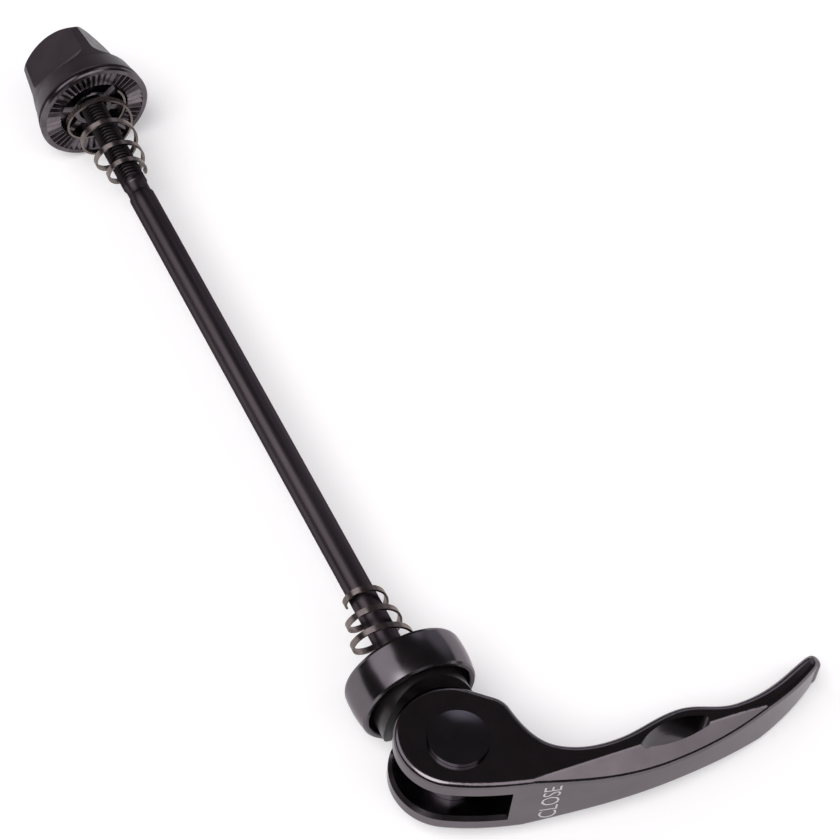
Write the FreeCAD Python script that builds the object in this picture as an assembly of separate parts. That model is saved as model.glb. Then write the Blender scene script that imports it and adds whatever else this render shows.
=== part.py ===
import FreeCAD
import Part
import math
import os

# Quick release skewer for a bicycle hub, lever closed, millimetres.
# The rod lies along +Y, the lever points along +X, and the origin is on the rod
# at the plane of the cup's clamping face. The whole assembly is rolled about the
# rod so that it lies on the rims of the cup and the nut and on the lever's tip.
ROLL_DEG = 5.9

# Distance between the two clamping faces
CLAMP_SPAN = 139.4

# Rod: plain 5 mm bar, a neck, then an M5 x 0.8 thread
ROD_R = 2.5
ROD_INSET = 1.36
SHOULDER_BACK = 24.2
NECK_LENGTH = 3.0
NECK_DEPTH = 0.28
THREAD_UNDER = 0.05
ROD_BEYOND = 15.8

# Cup
CUP_R_HUB = 10.3
CUP_R_MID = 11.0
CUP_R_LEVER = 10.55
CUP_HEIGHT = 7.5
CUP_FLOOR = 3.9
CUP_WALL = 1.1
CUP_ROUND = 0.7
CUP_RECESS_R = 7.1
CUP_RECESS = 2.2
SLIDE_PLAY = 0.08

# Cam saddle pressed into the cup
SADDLE_STEP = 0.95
SADDLE_FLANGE = 1.4
SADDLE_HEIGHT = 10.9
SADDLE_BORE_PLAY = 0.4
TROUGH_R = 14.0
TROUGH_FLOOR = 8.05

# Cam: a round nose set off the pivot, with a gap to the trough while the cup is loose
CAM_R = 9.7
CAM_OFFSET = 1.45
CAM_OFFSET_ANGLE = math.radians(20)
CAM_START = math.radians(-42)
CAM_END = math.radians(150)
CAM_GAP = 1.25
CAM_FLANK = 4.75
PIVOT = TROUGH_FLOOR + CAM_GAP + CAM_R + CAM_OFFSET * math.cos(CAM_OFFSET_ANGLE)

# Lever: two ears, an arm with a belly, and a thin tip
EAR_HALF = 7.25
TAPER = 0.0355
TAPER_U = 8.0
ARM_U = 46.0
TIP_U = 64.2
TIP_HALF = 3.86
SLOT_PLAY = 1.0
SLOT_SHORT = 1.1
LEVER_EDGE = 1.1
SLOT_EDGE = 0.7
BEVEL_ANGLE = math.radians(38)
BEVEL_EDGE = 1.2

# Cross pin that the lever turns on
PIN_R = 5.2
PIN_PROUD = 0.9
PIN_DOME = 0.4
PIN_PLAY = 0.05

# Serrated clamping faces
TEETH = 48
TOOTH_DEPTH = 0.55
TOOTH_BORDER = 0.4

# Nut: metal core and moulded cap, heights measured from the nut's clamping face
NUT_RING_R = 11.2
NUT_RING = 1.0
NUT_GROOVE = 0.55
NUT_GROOVE_DEPTH = 1.5
NUT_RECESS_R = 7.0
NUT_RECESS = 2.8
NUT_CORE_WALL_R = 8.0
NUT_CORE = 4.0
NUT_HUB_WALL = 1.6
NUT_HUB_SINK = 1.0
NUT_HUB = 10.6
NUT_RIBS = 6
NUT_RIB_WIDTH = 1.3
NUT_RIB_SINK = 1.2
CAP_SKIRT_STEP = 0.15
CAP_SKIRT_TOP_R = 10.2
CAP_SKIRT = 5.6
CAP_RIB_R = 9.1
CAP_SHOULDER = 14.9
CAP_DOME_R = 11.6
CAP_HOLE_PLAY = 0.4
CAP_FLATS = 4
CAP_FLAT = 7.64
CAP_FLAT_LEAN = math.radians(6.4)
CAP_FLAT_BLEND = 3.5
CAP_FLAT_DEG = 126

# Springs: flat wire, wound in a cone, left handed
WIRE_RADIAL = 0.42
WIRE_AXIAL = 1.1
SPRING_SIDE_PLAY = 0.6
SPRING_SEAT_PLAY = 0.03
SPRING_FRONT_ANGLE = math.radians(113)

Y_AXIS = FreeCAD.Vector(0, 1, 0)
Z_AXIS = FreeCAD.Vector(0, 0, 1)
ORIGIN = FreeCAD.Vector(0, 0, 0)


def turned(profile):
    """A solid turned about the rod's axis from (radius, y) corners."""
    points = [FreeCAD.Vector(r, y, 0) for r, y in profile]
    points.append(points[0])
    return Part.Face(Part.makePolygon(points)).revolve(ORIGIN, Y_AXIS, 360)


def rod_cylinder(radius, y0, y1):
    return Part.makeCylinder(radius, y1 - y0, FreeCAD.Vector(0, y0, 0), Y_AXIS)


def lever_heading(du, dv):
    return FreeCAD.Vector(du, -dv, 0)


def lever_point(u, v, s=0.0):
    """Lever coordinates: u along the lever, v away from the hub, s along the pin."""
    return FreeCAD.Vector(u, -PIVOT - v, s)


def smooth(points, first=None, last=None):
    curve = Part.BSplineCurve()
    if first is None:
        curve.interpolate(points)
    else:
        curve.interpolate(Points=points, InitialTangent=first, FinalTangent=last)
    return curve.toShape()


def flowing(nodes):
    """Curved edges through (point, heading) nodes, smooth where they meet."""
    return [smooth([a, b], leaving, arriving) for (a, leaving), (b, arriving) in zip(nodes, nodes[1:])]


def arc_on(start, heading, end):
    """An arc from start, leaving along heading, to end."""
    chord = end - start
    middle = (start + end) * 0.5
    turn = math.acos(max(-1.0, min(1.0, chord.dot(heading) / chord.Length)))
    rise = chord.Length / 2 * math.tan(turn / 2)
    aside = heading - chord * (heading.dot(chord) / chord.Length ** 2)
    aside.normalize()
    leaving = chord * (2 * heading.dot(chord) / chord.Length ** 2) - heading
    return Part.Arc(start, middle + aside * rise, end).toShape(), leaving


def polyline(corners):
    points = [FreeCAD.Vector(r, y, 0) for r, y in corners]
    return points, [Part.makeLine(a, b) for a, b in zip(points, points[1:])]


def middle_of(face):
    u0, u1, v0, v1 = face.ParameterRange
    return (u0 + u1) / 2, (v0 + v1) / 2


def serrations(face_y, inward, phase, inner_r, outer_r):
    """Wedges that cut radial teeth into a clamping face."""
    width = 2 * math.pi / TEETH * 0.84
    slope = TOOTH_DEPTH / outer_r
    rise = 0.2
    wedges = []
    for i in range(TEETH):
        mid = 2 * math.pi * (i + phase) / TEETH
        along = FreeCAD.Vector(math.cos(mid), 0, math.sin(mid))
        across = FreeCAD.Vector(-math.sin(mid), 0, math.cos(mid))
        ends = []
        for radius in (inner_r, outer_r):
            wide = radius * width / 2 * (1 + rise / (slope * radius))
            top = along * radius + Y_AXIS * (face_y - inward * rise)
            root = along * radius + Y_AXIS * (face_y + inward * slope * radius)
            corners = [top + across * wide, top - across * wide, root]
            ends.append(Part.makePolygon(corners + corners[:1]))
        wedges.append(Part.makeLoft(ends, True, True))
    return wedges


def eased(knots, t):
    """A value between (turn, value) knots, smooth at each knot."""
    last = len(knots) - 1
    i = 0
    while i < last - 1 and t > knots[i + 1][0]:
        i += 1
    slopes = []
    for j in (i, i + 1):
        a = max(j - 1, 0)
        b = min(j + 1, last)
        slopes.append((knots[b][1] - knots[a][1]) / (knots[b][0] - knots[a][0]))
    t0, v0 = knots[i]
    t1, v1 = knots[i + 1]
    h = t1 - t0
    x = (t - t0) / h
    return (
        v0 * (1 + 2 * x) * (1 - x) ** 2
        + slopes[0] * h * x * (1 - x) ** 2
        + v1 * x * x * (3 - 2 * x)
        + slopes[1] * h * x * x * (x - 1)
    )


def flat_wire_spring(seat_y, away, rises, shares, leans=((0, 0), (1, 0)), per_turn=8):
    """Flat wire on a cone: rises from the seat, shares from narrow end to wide end, leans sideways."""
    narrow = ROD_R + SPRING_SIDE_PLAY + WIRE_RADIAL / 2
    wide = CUP_RECESS_R - SPRING_SIDE_PLAY - WIRE_RADIAL / 2
    start = rises[0][0]
    end = rises[-1][0]
    count = int(math.ceil((end - start) * per_turn))
    points = []
    for i in range(count + 1):
        t = start + (end - start) * i / count
        angle = SPRING_FRONT_ANGLE + 2 * math.pi * t
        radius = narrow + (wide - narrow) * eased(shares, t)
        y = seat_y + away * (WIRE_AXIAL / 2 + SPRING_SEAT_PLAY + eased(rises, t))
        x = radius * math.cos(angle) + eased(leans, t)
        points.append(FreeCAD.Vector(x, y, radius * math.sin(angle)))
    path = Part.Wire([smooth(points)])
    angle = SPRING_FRONT_ANGLE + 2 * math.pi * start
    outward = FreeCAD.Vector(math.cos(angle), 0, math.sin(angle)) * (WIRE_RADIAL / 2)
    up = Y_AXIS * (WIRE_AXIAL / 2)
    corners = [
        points[0] + outward + up,
        points[0] - outward + up,
        points[0] - outward - up,
        points[0] + outward - up,
    ]
    pipe = Part.BRepOffsetAPI.MakePipeShell(path)
    pipe.setBiNormalMode(Y_AXIS)
    pipe.add(Part.makePolygon(corners + corners[:1]))
    pipe.build()
    pipe.makeSolid()
    return Part.Solid(pipe.shape())


# Rod
thread_r = ROD_R - THREAD_UNDER
neck_r = ROD_R - NECK_DEPTH
rod_start = -PIVOT - PIN_R + ROD_INSET
shoulder_y = CLAMP_SPAN - SHOULDER_BACK
thread_y = shoulder_y + NECK_LENGTH
rod_end = CLAMP_SPAN + ROD_BEYOND
rod = turned([
    (0, rod_start),
    (ROD_R - 0.4, rod_start),
    (ROD_R, rod_start + 0.4),
    (ROD_R, shoulder_y),
    (neck_r, shoulder_y + 0.5),
    (neck_r, thread_y),
    (thread_r, thread_y + 0.4),
    (thread_r, rod_end - 0.6),
    (thread_r - 0.6, rod_end),
    (0, rod_end),
])

# Cross pin: a barrel with slightly domed ends, cross drilled for the rod
pin_edge = EAR_HALF + PIN_PROUD
pin_top = pin_edge + PIN_DOME
dome_r = (PIN_R ** 2 + PIN_DOME ** 2) / (2 * PIN_DOME)
cross_pin = Part.makeCylinder(PIN_R, 2 * pin_top, lever_point(0, 0, -pin_top), Z_AXIS)
for end in (pin_top - dome_r, dome_r - pin_top):
    cross_pin = cross_pin.common(Part.makeSphere(dome_r, lever_point(0, 0, end)))
cross_pin = cross_pin.cut(rod_cylinder(ROD_R, -PIVOT - 2 * PIN_R, -PIVOT + 2 * PIN_R))

# Lever outline seen along the pin: cam nose, outer edge, tip and inner edge
cam_u = -CAM_OFFSET * math.sin(CAM_OFFSET_ANGLE)
cam_v = -CAM_OFFSET * math.cos(CAM_OFFSET_ANGLE)
cam = []
for angle in (CAM_START, (CAM_START + CAM_END) / 2, CAM_END):
    cam.append(lever_point(cam_u - CAM_R * math.sin(angle), cam_v - CAM_R * math.cos(angle)))
outer = [
    (cam[-1], lever_heading(-math.cos(CAM_END), math.sin(CAM_END))),
    (lever_point(10.5, 12.72), lever_heading(1, 0.24)),
    (lever_point(32.6, 16.0), lever_heading(1, 0)),
    (lever_point(65.3, 8.85), lever_heading(0.87, -0.49)),
]
flank = lever_heading(math.cos(CAM_START), -math.sin(CAM_START))
corner = cam[0] + flank * CAM_FLANK
corner_end = corner + lever_heading(1.46, 2.82)
corner_arc, leaving = arc_on(corner, flank, corner_end)
inner = [
    (lever_point(64.6, 6.3), lever_heading(-0.95, 0.32)),
    (lever_point(48.0, 10.7), lever_heading(-1, 0)),
    (lever_point(36.8, 8.0), lever_heading(-1, 0)),
    (lever_point(25.0, 9.3), lever_heading(-1, 0)),
    (lever_point(14.8, 6.5), lever_heading(-0.8, -0.6)),
    (corner_end, leaving * -1),
]
outline = Part.Face(Part.Wire(
    [Part.Arc(*cam).toShape()]
    + flowing(outer)
    + [Part.Arc(outer[-1][0], lever_point(66.8, 7.05), inner[0][0]).toShape()]
    + flowing(inner)
    + [corner_arc, Part.makeLine(corner, cam[0])]
))
outline.translate(FreeCAD.Vector(0, 0, -12))
plan = outline.extrude(FreeCAD.Vector(0, 0, 24))

# Lever width seen from outside: parallel ears, a straight taper, a round tip
half = [
    FreeCAD.Vector(-16, 0, EAR_HALF),
    FreeCAD.Vector(TAPER_U - 4, 0, EAR_HALF),
    FreeCAD.Vector(TAPER_U + 4, 0, EAR_HALF - 4 * TAPER),
    FreeCAD.Vector(ARM_U, 0, EAR_HALF - (ARM_U - TAPER_U) * TAPER),
    FreeCAD.Vector(TIP_U, 0, TIP_HALF),
]
far = [FreeCAD.Vector(p.x, 0, -p.z) for p in half]
bend, heading = arc_on(half[1], FreeCAD.Vector(1, 0, 0), half[2])
narrow, heading = arc_on(half[3], heading, half[4])
narrow_far = narrow.mirror(ORIGIN, Z_AXIS)
tip_round = TIP_HALF / math.cos(math.atan2(-heading.z, heading.x))
tip_centre = TIP_U - tip_round * -heading.z
tip = Part.Arc(half[4], FreeCAD.Vector(tip_centre + tip_round, 0, 0), far[4]).toShape()
width = Part.Face(Part.Wire(Part.sortEdges([
    Part.makeLine(half[0], half[1]),
    bend,
    Part.makeLine(half[2], half[3]),
    narrow,
    tip,
    narrow_far,
    Part.makeLine(far[3], far[2]),
    bend.mirror(ORIGIN, Z_AXIS),
    Part.makeLine(far[1], far[0]),
    Part.makeLine(far[0], half[0]),
])[0]))
width.translate(FreeCAD.Vector(0, -PIVOT - 30, 0))
lever = plan.common(width.extrude(FreeCAD.Vector(0, 60, 0)))

# Rounded edges all round both side faces
rims = []
solid = lever.Solids[0]
upright = [abs(face.normalAt(*middle_of(face)).z) < 0.02 for face in solid.Faces]
for edge in solid.Edges:
    sides = [upright[i] for i, face in enumerate(solid.Faces) if any(e.isSame(edge) for e in face.Edges)]
    if len(sides) == 2 and sides[0] != sides[1]:
        rims.append(edge)
lever = solid.makeFillet(LEVER_EDGE, rims)

# Planar bevels along the outer edge of the arm, with their own rounded edge
for sign in (1, -1):
    start = lever_point(13.0, 11.65, 6.93 * sign)
    along = lever_point(46.0, 12.75, 5.9 * sign) - start
    along.normalize()
    across = FreeCAD.Vector(0, -math.cos(BEVEL_ANGLE), -math.sin(BEVEL_ANGLE) * sign)
    across = across - along * across.dot(along)
    across.normalize()
    up = along.cross(across)
    if up.z * sign < 0:
        up = up * -1
    base = start - along * 20 - across * 3
    corners = [base, base + along * 75, base + along * 75 + across * 16, base + across * 16]
    lever = lever.cut(Part.Face(Part.makePolygon(corners + corners[:1])).extrude(up * 8))
lever = lever.Solids[0]
bevel_rims = []
for face in lever.Faces:
    slanted = abs(face.normalAt(*middle_of(face)).z) > 0.3
    if slanted and face.Surface.TypeId == "Part::GeomPlane" and face.Area > 20:
        long_edges = [edge for edge in face.Edges if edge.Length > 10]
        long_edges.sort(key=lambda edge: abs(edge.CenterOfMass.z))
        bevel_rims.append(long_edges[0])
lever = lever.makeFillet(BEVEL_EDGE, bevel_rims)

# Fork slot, pin bore and the almond opening through the arm
slot_half = ROD_R + SLOT_PLAY
slot_end = cam[0].x - SLOT_SHORT
slot = Part.makeBox(40, 80, 2 * slot_half, lever_point(slot_end - 40, 40, -slot_half))
lever = lever.cut(slot).Solids[0]
slot_rims = []
for edge in lever.Edges:
    box = edge.BoundBox
    level = box.ZLength < 0.01 and abs(abs(box.ZMin) - slot_half) < 0.01
    if level and box.Center.x < slot_end - 0.1:
        slot_rims.append(edge)
lever = lever.makeChamfer(SLOT_EDGE, slot_rims)
bore = Part.makeCylinder(PIN_R + PIN_PLAY, 40, lever_point(0, 0, -20), Z_AXIS)
almond_top = [
    lever_point(28.0, 12.1),
    lever_point(30.5, 10.7),
    lever_point(36.2, 9.95),
    lever_point(40.9, 11.2),
]
almond_low = [
    lever_point(40.2, 13.05),
    lever_point(36.2, 13.45),
    lever_point(29.4, 12.85),
]
almond_right = Part.Arc(almond_top[-1], lever_point(41.3, 12.25), almond_low[0]).toShape()
almond_left = Part.Arc(almond_low[-1], lever_point(28.25, 12.65), almond_top[0]).toShape()
almond = Part.Face(Part.Wire([smooth(almond_top), almond_right, smooth(almond_low), almond_left]))
almond.translate(FreeCAD.Vector(0, 0, -12))
almond = almond.extrude(FreeCAD.Vector(0, 0, 24))
lever = lever.cut([bore, almond])

# Cup: slightly barrelled, open towards the lever, recessed and serrated towards the hub
cup_wall_r = CUP_R_LEVER - CUP_WALL
cup_swell = CUP_R_MID - 0.1 - CUP_R_HUB
cup_points, cup_edges = polyline([
    (CUP_R_LEVER, 0.35 - CUP_HEIGHT),
    (CUP_R_LEVER - 0.35, -CUP_HEIGHT),
    (cup_wall_r + 0.2, -CUP_HEIGHT),
    (cup_wall_r, 0.2 - CUP_HEIGHT),
    (cup_wall_r, -CUP_FLOOR),
    (ROD_R + SLIDE_PLAY, -CUP_FLOOR),
    (ROD_R + SLIDE_PLAY, -CUP_RECESS),
    (CUP_RECESS_R, -CUP_RECESS),
    (CUP_RECESS_R, 0),
    (CUP_R_HUB, 0),
    (CUP_R_HUB + cup_swell * 0.7, -CUP_ROUND * 0.3),
    (CUP_R_HUB + cup_swell, -CUP_ROUND),
])
barrel_mid = FreeCAD.Vector(CUP_R_MID, -CUP_HEIGHT * 0.4, 0)
cup_edges.append(Part.Arc(cup_points[-1], barrel_mid, cup_points[0]).toShape())
cup = Part.Face(Part.Wire(cup_edges)).revolve(ORIGIN, Y_AXIS, 360)
cup = cup.cut(serrations(0, -1, 0.5, CUP_RECESS_R - TOOTH_BORDER, CUP_R_HUB - TOOTH_BORDER))

# Cam saddle: a pressed-in insert with a trough for the lever's ears
saddle_r = cup_wall_r - SADDLE_STEP
saddle_bore_r = ROD_R + SADDLE_BORE_PLAY
saddle = turned([
    (saddle_bore_r, -CUP_FLOOR),
    (cup_wall_r, -CUP_FLOOR),
    (cup_wall_r, -CUP_FLOOR - SADDLE_FLANGE),
    (saddle_r, -CUP_FLOOR - SADDLE_FLANGE - 0.3),
    (saddle_r, -SADDLE_HEIGHT),
    (saddle_bore_r, -SADDLE_HEIGHT),
])
trough_axis = FreeCAD.Vector(0, -TROUGH_FLOOR - TROUGH_R, -20)
saddle = saddle.cut(Part.makeCylinder(TROUGH_R, 40, trough_axis, Z_AXIS))

# Nut core: serrated ring, recess with ribs, threaded hub
nut_bore_r = thread_r + PIN_PLAY
nut_hub_r = nut_bore_r + NUT_HUB_WALL
groove_r = NUT_RING_R - NUT_GROOVE_DEPTH
ring_back = CLAMP_SPAN + NUT_RING
cap_y = ring_back + NUT_GROOVE
core_back = CLAMP_SPAN + NUT_CORE
hub_front = CLAMP_SPAN + NUT_HUB_SINK
hub_back = CLAMP_SPAN + NUT_HUB
recess_y = CLAMP_SPAN + NUT_RECESS
rib_y = CLAMP_SPAN + NUT_RIB_SINK
nut_core = turned([
    (nut_bore_r, hub_front + 0.4),
    (nut_bore_r + 0.4, hub_front),
    (nut_hub_r - 0.3, hub_front),
    (nut_hub_r, hub_front + 0.3),
    (nut_hub_r, recess_y),
    (NUT_RECESS_R, recess_y),
    (NUT_RECESS_R, CLAMP_SPAN + 0.25),
    (NUT_RECESS_R + 0.25, CLAMP_SPAN),
    (NUT_RING_R - 0.3, CLAMP_SPAN),
    (NUT_RING_R, CLAMP_SPAN + 0.3),
    (NUT_RING_R, ring_back - 0.2),
    (NUT_RING_R - 0.2, ring_back),
    (groove_r, ring_back),
    (groove_r, cap_y),
    (NUT_CORE_WALL_R, cap_y),
    (NUT_CORE_WALL_R, core_back),
    (nut_hub_r, core_back),
    (nut_hub_r, hub_back),
    (nut_bore_r, hub_back),
])
ribs = []
for i in range(NUT_RIBS):
    rib = Part.makeBox(NUT_RECESS_R - nut_hub_r + 0.6, recess_y - rib_y + 0.3, NUT_RIB_WIDTH)
    rib.translate(FreeCAD.Vector(nut_hub_r - 0.3, rib_y, -NUT_RIB_WIDTH / 2))
    rib.rotate(ORIGIN, Y_AXIS, 360 * i / NUT_RIBS + 15)
    ribs.append(rib)
nut_core = nut_core.fuse(ribs).removeSplitter()
tooth_out_r = NUT_RING_R - 0.3 - 2 * TOOTH_BORDER
nut_core = nut_core.cut(serrations(CLAMP_SPAN, 1, 0.0, NUT_RECESS_R - TOOTH_BORDER, tooth_out_r))

# Nut cap: round skirt, four finger flats, a domed end with the rod's hole
skirt_r = NUT_RING_R - CAP_SKIRT_STEP
skirt_top = CLAMP_SPAN + CAP_SKIRT
shoulder = CLAMP_SPAN + CAP_SHOULDER
cap_hole_r = thread_r + CAP_HOLE_PLAY
dome_centre = shoulder - math.sqrt(CAP_DOME_R ** 2 - CAP_RIB_R ** 2)
hole_edge = dome_centre + math.sqrt(CAP_DOME_R ** 2 - cap_hole_r ** 2)
dome_mid_r = 0.68 * CAP_RIB_R
dome_mid = FreeCAD.Vector(dome_mid_r, dome_centre + math.sqrt(CAP_DOME_R ** 2 - dome_mid_r ** 2), 0)
cap_points, cap_edges = polyline([
    (cap_hole_r, hole_edge),
    (cap_hole_r, hub_back),
    (nut_hub_r, hub_back),
    (nut_hub_r, core_back),
    (NUT_CORE_WALL_R, core_back),
    (NUT_CORE_WALL_R, cap_y),
    (skirt_r - 0.2, cap_y),
    (skirt_r, cap_y + 0.2),
    (CAP_SKIRT_TOP_R, skirt_top),
    (CAP_RIB_R, shoulder),
])
cap_edges.append(Part.Arc(cap_points[-1], dome_mid, cap_points[0]).toShape())
nut_cap = Part.Face(Part.Wire(cap_edges)).revolve(ORIGIN, Y_AXIS, 360)
flat_low = FreeCAD.Vector(CAP_FLAT, skirt_top + CAP_FLAT_BLEND * (1 - math.sin(CAP_FLAT_LEAN)), 0)
flat_down = FreeCAD.Vector(math.sin(CAP_FLAT_LEAN), -math.cos(CAP_FLAT_LEAN), 0)
flat_top = flat_low - flat_down * 16
blend_out = FreeCAD.Vector(CAP_FLAT + CAP_FLAT_BLEND * math.cos(CAP_FLAT_LEAN), skirt_top, 0)
blend, leaving = arc_on(flat_low, flat_down, blend_out)
far_low = FreeCAD.Vector(16, skirt_top, 0)
far_top = FreeCAD.Vector(16, flat_top.y, 0)
flat_profile = Part.Wire([
    Part.makeLine(flat_top, flat_low),
    blend,
    Part.makeLine(blend_out, far_low),
    Part.makeLine(far_low, far_top),
    Part.makeLine(far_top, flat_top),
])
flats = []
for i in range(CAP_FLATS):
    cutter = Part.Face(flat_profile).extrude(FreeCAD.Vector(0, 0, 28))
    cutter.translate(FreeCAD.Vector(0, 0, -14))
    cutter.rotate(ORIGIN, Y_AXIS, -CAP_FLAT_DEG - 360 * i / CAP_FLATS)
    flats.append(cutter)
nut_cap = nut_cap.cut(flats)

# Springs: the wide end rests in the cup and on the nut's ribs
cup_spring = flat_wire_spring(
    -CUP_RECESS,
    1,
    [(-0.8, 0), (-0.45, 0.5), (0, 2.9), (0.78, 6.6), (1.22, 8.8), (2, 11.8), (3, 16.7), (3.27, 17.3)],
    [(-0.8, 1), (-0.45, 1), (0, 0.97), (1, 0.56), (1.22, 0.56), (2, 0.44), (3, 0.06), (3.27, 0)],
    [(-0.8, 0), (-0.45, 0), (0, -0.3), (1, -0.9), (2, -0.6), (3, 0), (3.27, 0)],
)
nut_spring = flat_wire_spring(
    rib_y,
    -1,
    [(-0.35, 18.2), (0, 17.5), (1, 13.6), (2, 8.0), (3, 3.1), (3.45, 0.4), (3.8, 0)],
    [(-0.35, 0.02), (0, 0.09), (1, 0.4), (2, 0.62), (3, 0.97), (3.45, 1), (3.8, 1)],
)

# Every piece in the row frame, one file each
PIECES = {
    "rod": rod,
    "cross_pin": cross_pin,
    "lever": lever,
    "cup": cup,
    "cam_saddle": saddle,
    "cup_spring": cup_spring,
    "nut_core": nut_core,
    "nut_cap": nut_cap,
    "nut_spring": nut_spring,
}
os.makedirs("parts", exist_ok=True)
for name, shape in PIECES.items():
    shape.rotate(ORIGIN, Y_AXIS, ROLL_DEG)
    shape.exportStep("parts/" + name + ".step")
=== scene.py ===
import math
import bmesh
import bpy
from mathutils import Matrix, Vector
from mathutils.bvhtree import BVHTree


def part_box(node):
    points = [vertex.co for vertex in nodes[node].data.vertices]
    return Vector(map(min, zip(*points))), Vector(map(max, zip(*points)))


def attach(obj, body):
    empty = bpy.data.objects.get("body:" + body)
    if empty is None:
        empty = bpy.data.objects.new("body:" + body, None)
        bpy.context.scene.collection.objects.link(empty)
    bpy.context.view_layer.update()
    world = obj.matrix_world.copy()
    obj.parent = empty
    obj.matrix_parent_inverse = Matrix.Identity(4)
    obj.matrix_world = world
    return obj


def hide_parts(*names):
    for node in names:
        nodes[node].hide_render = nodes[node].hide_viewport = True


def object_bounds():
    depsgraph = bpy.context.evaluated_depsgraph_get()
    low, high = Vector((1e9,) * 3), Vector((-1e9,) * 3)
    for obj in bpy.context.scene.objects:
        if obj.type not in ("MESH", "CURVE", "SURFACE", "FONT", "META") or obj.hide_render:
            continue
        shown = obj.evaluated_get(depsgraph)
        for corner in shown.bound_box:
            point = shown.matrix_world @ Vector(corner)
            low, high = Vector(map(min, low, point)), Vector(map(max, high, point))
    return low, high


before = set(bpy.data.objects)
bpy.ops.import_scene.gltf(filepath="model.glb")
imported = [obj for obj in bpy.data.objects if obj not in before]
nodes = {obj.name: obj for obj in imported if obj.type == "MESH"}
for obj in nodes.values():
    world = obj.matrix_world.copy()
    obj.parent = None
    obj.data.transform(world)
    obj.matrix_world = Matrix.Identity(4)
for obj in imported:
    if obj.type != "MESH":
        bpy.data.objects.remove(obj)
cad_low, cad_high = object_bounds()
scene = bpy.context.scene
MM = 0.001

# Sizes shared with the solids, millimetres
ROLL = math.radians(5.9)
PIVOT_Y = -20.3626
ROD_R = 2.5
NECK_R = 2.22
SHOULDER_Y = 115.2
THREAD_Y = 118.2
THREAD_CREST_R = 2.45

# Thread, millimetres, with its crest and its flank as shares of half a pitch
THREAD_PITCH = 0.8
THREAD_DEPTH = 0.44
THREAD_CREST = 0.2
THREAD_FLANK = 0.55
THREAD_RUN_IN = 1.2
THREAD_RUN_OUT = 0.8
THREAD_LEAD = 0.4
THREAD_END = 0.6

# Rod's rounded corners, as (distance from the corner, radius), and the rows of its mesh
ROD_START = [(0.0, ROD_R - 0.4), (0.12, ROD_R - 0.2), (0.4, ROD_R)]
ROD_SHOULDER = [(0.25, ROD_R - 0.1), (0.5, NECK_R + 0.03), (0.62, NECK_R)]
ROD_NECK_END = [(-0.1, NECK_R), (0.05, NECK_R + 0.06)]
ROD_END = [(-0.3, THREAD_CREST_R - 0.3), (0.0, THREAD_CREST_R - 0.6)]
BAR_ROWS = 60
ROWS_PER_PITCH = 12
AROUND = 48

# Word on the lever: its place and size in millimetres, and how its flat letters are drawn, in letter heights
WORD = "CLOSE"
WORD_ALONG = 11.4
WORD_HEIGHT = 3.0
WORD_WIDTH = 10.0
LETTER_SPACE = 0.95
LETTER_THIN = -0.005
LETTER_CURVE = 6
LETTER_MERGE = 1e-5
LETTER_EDGE = 0.12
RAY_START = 40
INK_LIFT = 0.03

# Noise in the finishes, as (detail, roughness), and the part of its range that is used
TONE_NOISE = (5.0, 0.6)
GLOSS_NOISE = (3.0, 0.5)
GRAIN_NOISE = (2.0, 0.6)
NOISE_LOW = 0.3
NOISE_HIGH = 0.7
GLOSS_FINER = 2.3
GRAIN_STRENGTH = 0.35
COAT_ROUGHNESS = 0.08

# Darker thread: the share of the rod's tone kept over the thread, and the millimetres over which the
# darkening starts
THREAD_TONE_KEPT = 0.45
THREAD_DARKEN_RUN = 1.0

# Floor, metres
FLOOR_HALF = 20
FLOOR_GAP = 0.00002
PAPER = (0.74, 0.74, 0.74)
FLOOR_GLOW = 0.33

# Studio light: a dim room with soft boxes, as (direction, inner and outer half angle, strength, tint)
ROOM = (0.058, 0.05, 0.054)
SOFT_BOXES = [
    ((-0.5135, 0.52, 0.683), 18.5, 22.5, 1.35, (1.0, 0.95, 1.0)),
    ((-0.57, 0.25, 0.783), 18.0, 22.0, 1.35, (1.0, 0.95, 1.0)),
    ((0.225, -0.575, 0.787), 21, 25, 1.6, (1.0, 0.95, 0.99)),
    ((-0.395, -0.254, 0.883), 19, 25, 4.8, (1.0, 0.985, 0.99)),
    ((0.83, 0.50, 0.25), 6, 22, 0.42, (0.90, 0.87, 1.0)),
    ((0.528, 0.675, 0.515), 3, 15, 0.75, (0.90, 0.86, 1.0)),
]

# Camera at the photograph's view, metres, with its lens in millimetres
CAMERA_PLACE = (-0.09963, -0.21346, 0.40681)
CAMERA_ELEVATION = math.radians(54.8)
CAMERA_HEADING = math.radians(25.8)
CAMERA_LENS = 117.86
CAMERA_SENSOR = 36
CAMERA_NEAR = 0.01


# Material helpers
def empty_material(name):
    mat = bpy.data.materials.new(name)
    mat.use_nodes = True
    tree = mat.node_tree
    tree.nodes.clear()
    return mat, tree, tree.nodes.new("ShaderNodeOutputMaterial")


def object_noise(tree, scale, kind, stretch):
    coords = tree.nodes.new("ShaderNodeTexCoord")
    mapping = tree.nodes.new("ShaderNodeMapping")
    mapping.inputs["Scale"].default_value = stretch
    noise = tree.nodes.new("ShaderNodeTexNoise")
    noise.inputs["Scale"].default_value = scale
    noise.inputs["Detail"].default_value = kind[0]
    noise.inputs["Roughness"].default_value = kind[1]
    tree.links.new(coords.outputs["Object"], mapping.inputs["Vector"])
    tree.links.new(mapping.outputs["Vector"], noise.inputs["Vector"])
    return noise.outputs["Fac"]


def tones(tree, fac, dark, light):
    node = tree.nodes.new("ShaderNodeValToRGB")
    stops = [(NOISE_LOW, dark), (NOISE_HIGH, light)]
    for element, (place, colour) in zip(node.color_ramp.elements, stops):
        element.position = place
        element.color = (*colour, 1.0)
    tree.links.new(fac, node.inputs["Fac"])
    return node.outputs["Color"]


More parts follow.
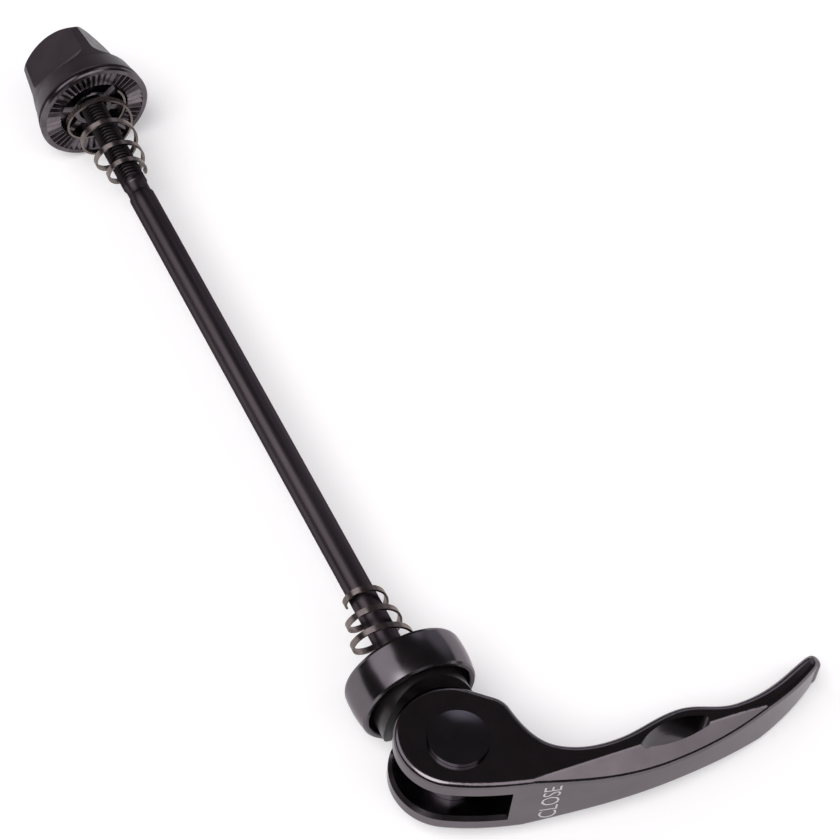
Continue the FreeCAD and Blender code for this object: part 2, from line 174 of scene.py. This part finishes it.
def spread(tree, value, from_range, to_range):
    node = tree.nodes.new("ShaderNodeMapRange")
    node.inputs["From Min"].default_value = from_range[0]
    node.inputs["From Max"].default_value = from_range[1]
    node.inputs["To Min"].default_value = to_range[0]
    node.inputs["To Max"].default_value = to_range[1]
    tree.links.new(value, node.inputs["Value"])
    return node


def bump(tree, bsdf, height, depth):
    node = tree.nodes.new("ShaderNodeBump")
    node.inputs["Strength"].default_value = GRAIN_STRENGTH
    node.inputs["Distance"].default_value = depth
    tree.links.new(height, node.inputs["Height"])
    tree.links.new(node.outputs["Normal"], bsdf.inputs["Normal"])


def finish_material(
    name, dark, light, rough, drift, grain, depth, metallic=1.0, coat=0.0, edge=(1, 1, 1), level=0.5,
    stretch=(1, 1, 1),
):
    """Colour that drifts between two tones, drifting gloss and a fine surface grain.

    edge tints what the surface reflects at a low angle, and level is how much a plastic reflects.
    """
    mat, tree, out = empty_material(name)
    bsdf = tree.nodes.new("ShaderNodeBsdfPrincipled")
    tree.links.new(bsdf.outputs["BSDF"], out.inputs["Surface"])
    tone = tones(tree, object_noise(tree, drift, TONE_NOISE, stretch), dark, light)
    tree.links.new(tone, bsdf.inputs["Base Color"])
    gloss = object_noise(tree, drift * GLOSS_FINER, GLOSS_NOISE, stretch)
    roughness = spread(tree, gloss, (NOISE_LOW, NOISE_HIGH), rough)
    tree.links.new(roughness.outputs["Result"], bsdf.inputs["Roughness"])
    bsdf.inputs["Metallic"].default_value = metallic
    bsdf.inputs["Specular Tint"].default_value = (*edge, 1.0)
    bsdf.inputs["Specular IOR Level"].default_value = level
    bsdf.inputs["Coat Weight"].default_value = coat
    bsdf.inputs["Coat Roughness"].default_value = COAT_ROUGHNESS
    bump(tree, bsdf, object_noise(tree, grain, GRAIN_NOISE, stretch), depth)
    return mat


def darken_thread(mat):
    """Darkens the rod's tone over its thread, from where the thread starts, along the rod's own length."""
    tree = mat.node_tree
    shade = tree.nodes["Principled BSDF"].inputs["Base Color"]
    tone = shade.links[0].from_socket
    coords = tree.nodes.new("ShaderNodeTexCoord")
    place = tree.nodes.new("ShaderNodeSeparateXYZ")
    tree.links.new(coords.outputs["Object"], place.inputs["Vector"])
    run = (THREAD_Y * MM, (THREAD_Y + THREAD_DARKEN_RUN) * MM)
    share = spread(tree, place.outputs["Y"], run, (1.0, THREAD_TONE_KEPT))
    darkened = tree.nodes.new("ShaderNodeVectorMath")
    darkened.operation = "SCALE"
    tree.links.new(tone, darkened.inputs[0])
    tree.links.new(share.outputs["Result"], darkened.inputs["Scale"])
    tree.links.new(darkened.outputs["Vector"], shade)


# Finishes: tones from dark to light, roughness range, scale of the drift, scale and depth of the grain
lever_mat = finish_material(
    "black_anodised_lever", (0.118, 0.106, 0.114), (0.142, 0.129, 0.137),
    rough=(0.15, 0.20), drift=120, grain=5200, depth=4e-6, coat=0.25, edge=(0.68, 0.655, 0.68),
)
cup_mat = finish_material(
    "black_anodised_cup", (0.112, 0.102, 0.111), (0.138, 0.126, 0.136),
    rough=(0.17, 0.22), drift=140, grain=5200, depth=4e-6, coat=0.12, edge=(0.7, 0.67, 0.7),
)
rod_mat = finish_material(
    "black_oxide_rod", (0.058, 0.049, 0.054), (0.094, 0.081, 0.089),
    rough=(0.32, 0.40), drift=160, grain=4200, depth=1e-5, edge=(0.35, 0.34, 0.35), stretch=(1.0, 0.12, 1.0),
)
darken_thread(rod_mat)
pin_mat = finish_material(
    "polished_pin", (0.118, 0.110, 0.126), (0.156, 0.148, 0.168),
    rough=(0.12, 0.17), drift=200, grain=6000, depth=3e-6, coat=0.25, edge=(0.6, 0.58, 0.62),
)
saddle_mat = finish_material(
    "saddle_plastic", (0.007, 0.0058, 0.0062), (0.012, 0.010, 0.0108),
    rough=(0.30, 0.36), drift=260, grain=3800, depth=3e-6, metallic=0.0, level=0.35, edge=(0.95, 0.84, 0.9),
)
spring_mat = finish_material(
    "spring_steel", (0.125, 0.106, 0.101), (0.255, 0.221, 0.211),
    rough=(0.20, 0.30), drift=300, grain=5200, depth=8e-6, edge=(0.75, 0.72, 0.7),
)
core_mat = finish_material(
    "dark_plated_core", (0.085, 0.075, 0.082), (0.160, 0.142, 0.153),
    rough=(0.17, 0.25), drift=350, grain=4600, depth=1e-5, edge=(0.6, 0.58, 0.6),
)
cap_mat = finish_material(
    "moulded_cap", (0.0200, 0.0148, 0.0180), (0.0290, 0.0218, 0.0262),
    rough=(0.33, 0.42), drift=220, grain=5000, depth=2.2e-5, metallic=0.0, level=0.28, edge=(1.0, 0.9, 1.0),
)
ink_mat = finish_material(
    "white_ink", (0.62, 0.60, 0.63), (0.76, 0.74, 0.77),
    rough=(0.4, 0.55), drift=900, grain=7000, depth=4e-6, metallic=0.0,
)

FINISHES = {
    "rod": rod_mat,
    "cross_pin": pin_mat,
    "lever": lever_mat,
    "cup": cup_mat,
    "cam_saddle": saddle_mat,
    "cup_spring": spring_mat,
    "nut_core": core_mat,
    "nut_cap": cap_mat,
    "nut_spring": spring_mat,
}
for node, mat in FINISHES.items():
    slots = nodes[node].data.materials
    slots.clear()
    slots.append(mat)


def mesh_object(name, verts, faces, mat, smooth=True):
    mesh = bpy.data.meshes.new(name)
    mesh.from_pydata(verts, [], faces)
    mesh.validate()
    mesh.materials.append(mat)
    for polygon in mesh.polygons:
        polygon.use_smooth = smooth
    obj = bpy.data.objects.new(name, mesh)
    scene.collection.objects.link(obj)
    return obj


# Rod with its screw thread: plain bar, neck, then a rolled thread
def thread_radius(y, angle, start, end):
    phase = (y / THREAD_PITCH - angle / (2 * math.pi)) % 1.0
    flank = abs(phase - 0.5) * 2
    cut = min(max((flank - THREAD_CREST) / THREAD_FLANK, 0.0), 1.0)
    fade = min((y - start) / THREAD_RUN_IN, (end - y) / THREAD_RUN_OUT, 1.0)
    return THREAD_CREST_R - THREAD_DEPTH * cut * max(fade, 0.0)


def moved(profile, y):
    return [(y + step, radius) for step, radius in profile]


def evenly(start, end, rows):
    return [start + (end - start) * i / rows for i in range(rows + 1)]


def rod_rows(start, end, thread_start, thread_end):
    """Rows along the rod as (place, radius), with no radius where the thread sets it."""
    rows = moved(ROD_START, start)
    bar_start = rows[-1][0]
    rows += [(y, ROD_R) for y in evenly(bar_start, SHOULDER_Y, BAR_ROWS)[1:]]
    rows += moved(ROD_SHOULDER, SHOULDER_Y) + moved(ROD_NECK_END, THREAD_Y)
    count = int((thread_end - thread_start) / THREAD_PITCH * ROWS_PER_PITCH)
    rows += [(y, None) for y in evenly(thread_start, thread_end, count)]
    return rows + moved(ROD_END, end)


def rod_shape(start, end):
    thread_start = THREAD_Y + THREAD_LEAD
    thread_end = end - THREAD_END
    rows = rod_rows(start, end, thread_start, thread_end)
    verts = []
    for y, radius in rows:
        for k in range(AROUND):
            angle = 2 * math.pi * k / AROUND
            r = thread_radius(y, angle, thread_start, thread_end) if radius is None else radius
            verts.append((r * math.cos(angle) * MM, y * MM, r * math.sin(angle) * MM))
    faces = []
    last = (len(rows) - 1) * AROUND
    for row in range(0, last, AROUND):
        for k in range(AROUND):
            a = row + k
            b = row + (k + 1) % AROUND
            faces.append((a, a + AROUND, b + AROUND, b))
    faces.append(tuple(range(AROUND)))
    faces.append(tuple(reversed(range(last, last + AROUND))))
    return verts, faces


rod_low, rod_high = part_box("rod")
rod_verts, rod_faces = rod_shape(rod_low.y / MM, rod_high.y / MM)
threaded_rod = mesh_object("threaded_rod", rod_verts, rod_faces, rod_mat)
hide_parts("rod")
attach(threaded_rod, "skewer")


# Closed-position word printed on the lever's outer face
def flat_word():
    font = bpy.data.curves.new("word_curve", "FONT")
    font.body = WORD
    font.size = 1.0
    font.align_x = "CENTER"
    font.align_y = "CENTER"
    font.space_character = LETTER_SPACE
    font.offset = LETTER_THIN
    font.resolution_u = LETTER_CURVE
    font_obj = bpy.data.objects.new("word_curve", font)
    scene.collection.objects.link(font_obj)
    bpy.context.view_layer.update()
    evaluated = font_obj.evaluated_get(bpy.context.evaluated_depsgraph_get())
    mesh = bpy.data.meshes.new_from_object(evaluated)
    bpy.data.objects.remove(font_obj)
    return mesh


def from_middle(values):
    """Each value's distance from the middle of them all, as a share of their span."""
    low, high = min(values), max(values)
    return [(value - (low + high) / 2) / (high - low) for value in values]


def lay_on_lever(work):
    """Drops each point of the word onto the lever's outer face, just proud of it."""
    along = Vector((math.cos(ROLL), 0, -math.sin(ROLL)))
    out = Vector((0, -1, 0))
    across = Vector((math.sin(ROLL), 0, math.cos(ROLL)))
    pivot = Vector((0, PIVOT_Y, 0))
    lever_tree = BVHTree.FromObject(nodes["lever"], bpy.context.evaluated_depsgraph_get())
    widths = from_middle([vert.co.x for vert in work.verts])
    heights = from_middle([vert.co.y for vert in work.verts])
    for vert, width, height in zip(work.verts, widths, heights):
        u = WORD_ALONG - height * WORD_HEIGHT
        start = (pivot + along * u + across * (width * WORD_WIDTH) + out * RAY_START) * MM
        hit, normal, _, _ = lever_tree.ray_cast(start, -out)
        vert.co = hit + normal * (INK_LIFT * MM)


def printed_word():
    mesh = flat_word()
    work = bmesh.new()
    work.from_mesh(mesh)
    bmesh.ops.remove_doubles(work, verts=work.verts, dist=LETTER_MERGE)
    bmesh.ops.triangulate(work, faces=work.faces)
    long_edges = [edge for edge in work.edges if edge.calc_length() > LETTER_EDGE]
    bmesh.ops.subdivide_edges(work, edges=long_edges, cuts=1)
    bmesh.ops.triangulate(work, faces=work.faces)
    lay_on_lever(work)
    bmesh.ops.recalc_face_normals(work, faces=work.faces)
    mesh.clear_geometry()
    work.to_mesh(mesh)
    work.free()
    mesh.materials.clear()
    mesh.materials.append(ink_mat)
    return mesh


word = bpy.data.objects.new("closed_word", printed_word())
scene.collection.objects.link(word)
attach(word, "lever")


# Floor
def greater(tree, first, second):
    node = tree.nodes.new("ShaderNodeMath")
    node.operation = "MAXIMUM"
    tree.links.new(first, node.inputs[0])
    tree.links.new(second, node.inputs[1])
    return node.outputs[0]


def floor_paper():
    """Pale paper with a glow that only the camera and reflections see, which makes it white."""
    mat, tree, out = empty_material("floor_paper")
    paper = tree.nodes.new("ShaderNodeBsdfDiffuse")
    paper.inputs["Color"].default_value = (*PAPER, 1)
    glow = tree.nodes.new("ShaderNodeEmission")
    glow.inputs["Color"].default_value = (1, 1, 1, 1)
    rays = tree.nodes.new("ShaderNodeLightPath").outputs
    seen = greater(tree, rays["Is Camera Ray"], rays["Is Glossy Ray"])
    seen = greater(tree, seen, rays["Is Transmission Ray"])
    level = tree.nodes.new("ShaderNodeMath")
    level.operation = "MULTIPLY"
    level.inputs[1].default_value = FLOOR_GLOW
    tree.links.new(seen, level.inputs[0])
    tree.links.new(level.outputs[0], glow.inputs["Strength"])
    both = tree.nodes.new("ShaderNodeAddShader")
    tree.links.new(paper.outputs[0], both.inputs[0])
    tree.links.new(glow.outputs[0], both.inputs[1])
    tree.links.new(both.outputs[0], out.inputs["Surface"])
    return mat


floor_z = cad_low.z - FLOOR_GAP
floor_corners = [
    (x * FLOOR_HALF, y * FLOOR_HALF, floor_z) for x, y in [(-1, -1), (1, -1), (1, 1), (-1, 1)]
]
floor = mesh_object("floor", floor_corners, [(0, 1, 2, 3)], floor_paper(), False)


# Studio light
def soft_box(tree, ray, direction, inner, outer, strength, tint):
    dot = tree.nodes.new("ShaderNodeVectorMath")
    dot.operation = "DOT_PRODUCT"
    dot.inputs[1].default_value = Vector(direction).normalized()
    tree.links.new(ray, dot.inputs[0])
    cosines = (math.cos(math.radians(outer)), math.cos(math.radians(inner)))
    edge = spread(tree, dot.outputs["Value"], cosines, (0.0, 1.0))
    edge.interpolation_type = "SMOOTHSTEP"
    light = tree.nodes.new("ShaderNodeVectorMath")
    light.operation = "SCALE"
    light.inputs[0].default_value = tuple(strength * c for c in tint)
    tree.links.new(edge.outputs["Result"], light.inputs["Scale"])
    return light.outputs["Vector"]


def studio_world():
    """Room light plus the brightest soft box in each direction."""
    world = bpy.data.worlds.new("studio")
    world.use_nodes = True
    tree = world.node_tree
    tree.nodes.clear()
    ray = tree.nodes.new("ShaderNodeTexCoord").outputs["Generated"]
    boxes = [soft_box(tree, ray, *box) for box in SOFT_BOXES]
    brightest = boxes[0]
    for box in boxes[1:]:
        brighter = tree.nodes.new("ShaderNodeVectorMath")
        brighter.operation = "MAXIMUM"
        tree.links.new(brightest, brighter.inputs[0])
        tree.links.new(box, brighter.inputs[1])
        brightest = brighter.outputs["Vector"]
    room = tree.nodes.new("ShaderNodeVectorMath")
    room.operation = "ADD"
    room.inputs[1].default_value = ROOM
    tree.links.new(brightest, room.inputs[0])
    background = tree.nodes.new("ShaderNodeBackground")
    tree.links.new(room.outputs["Vector"], background.inputs["Color"])
    out = tree.nodes.new("ShaderNodeOutputWorld")
    tree.links.new(background.outputs[0], out.inputs["Surface"])
    return world


scene.world = studio_world()


# Camera
def photo_camera():
    camera = bpy.data.cameras.new("camera")
    camera.sensor_width = CAMERA_SENSOR
    camera.lens = CAMERA_LENS
    camera.clip_start = CAMERA_NEAR
    camera_obj = bpy.data.objects.new("camera", camera)
    scene.collection.objects.link(camera_obj)
    look = Vector((
        math.sin(CAMERA_HEADING) * math.cos(CAMERA_ELEVATION),
        math.cos(CAMERA_HEADING) * math.cos(CAMERA_ELEVATION),
        -math.sin(CAMERA_ELEVATION),
    ))
    camera_obj.location = CAMERA_PLACE
    camera_obj.rotation_euler = look.to_track_quat("-Z", "Y").to_euler()
    return camera_obj


scene.camera = photo_camera()

scene.view_settings.view_transform = "Standard"
